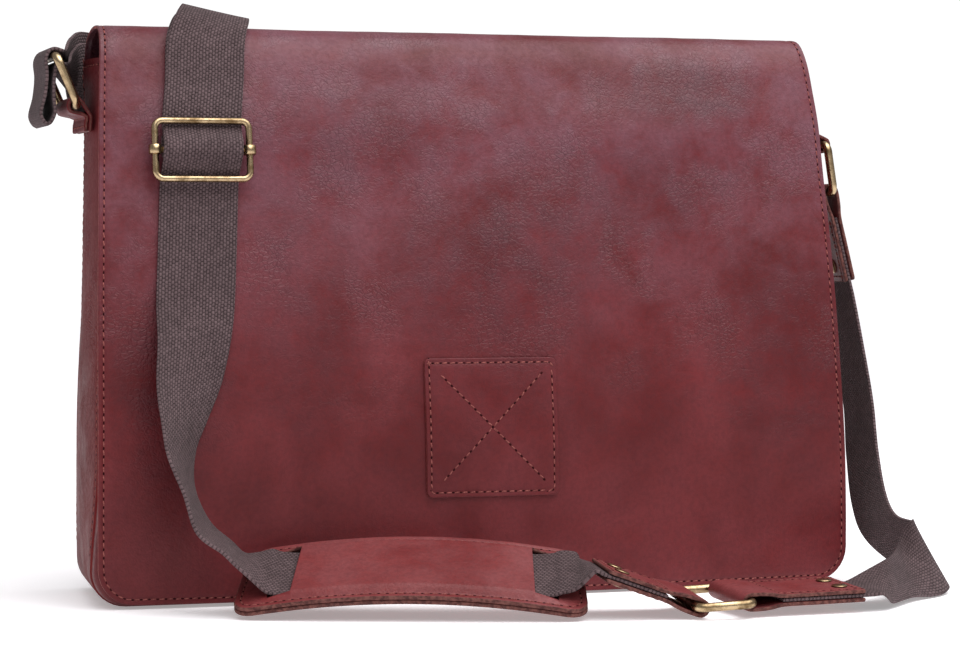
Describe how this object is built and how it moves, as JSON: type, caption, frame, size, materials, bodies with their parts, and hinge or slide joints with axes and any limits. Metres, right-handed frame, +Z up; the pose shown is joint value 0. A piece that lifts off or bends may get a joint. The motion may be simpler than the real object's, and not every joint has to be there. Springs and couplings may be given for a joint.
{
  "type": "leather messenger bag",
  "caption": "Upright leather messenger bag with a full front flap, square stitched patch and a webbing shoulder strap with slider, leather pad and riveted leather ends on metal rings.",
  "frame": {"origin": "middle of the bag's flat base, on the surface that it stands on", "axes": "+X to the right of the front, +Y to the back, +Z up"},
  "size_m": [0.4558, 0.2362, 0.3038],
  "materials": {
    "bag_leather": "waxed and mottled, soft sheen",
    "strap_leather": "waxed, redder, with brown cut edges",
    "webbing": "coarse grey brown cotton weave",
    "old_brass": "antique, worn bright on the edges"
  },
  "bodies": {
    "root": {"front_panel": "bag_leather", "back_panel": "bag_leather", "gusset": "bag_leather", "flap": "bag_leather", "flap_patch": "bag_leather", "ring_tab_left": "bag_leather", "ring_tab_right": "bag_leather", "ring_left": "old_brass", "ring_right": "old_brass", "slider_frame": "old_brass", "slider_bar": "old_brass", "strap_webbing_long": "webbing", "strap_webbing_short": "webbing", "pad_backing": "strap_leather", "pad_face": "strap_leather", "connector_left": "strap_leather", "connector_ring": "old_brass", "connector_right": "strap_leather", "hanger_tab": "strap_leather", "rivet_connector_left_front": "old_brass", "rivet_connector_left_back": "old_brass", "rivet_connector_right_front": "old_brass", "rivet_connector_right_back": "old_brass", "rivet_hanger_tab_front": "old_brass", "rivet_hanger_tab_back": "old_brass"}
  },
  "joints": []
}
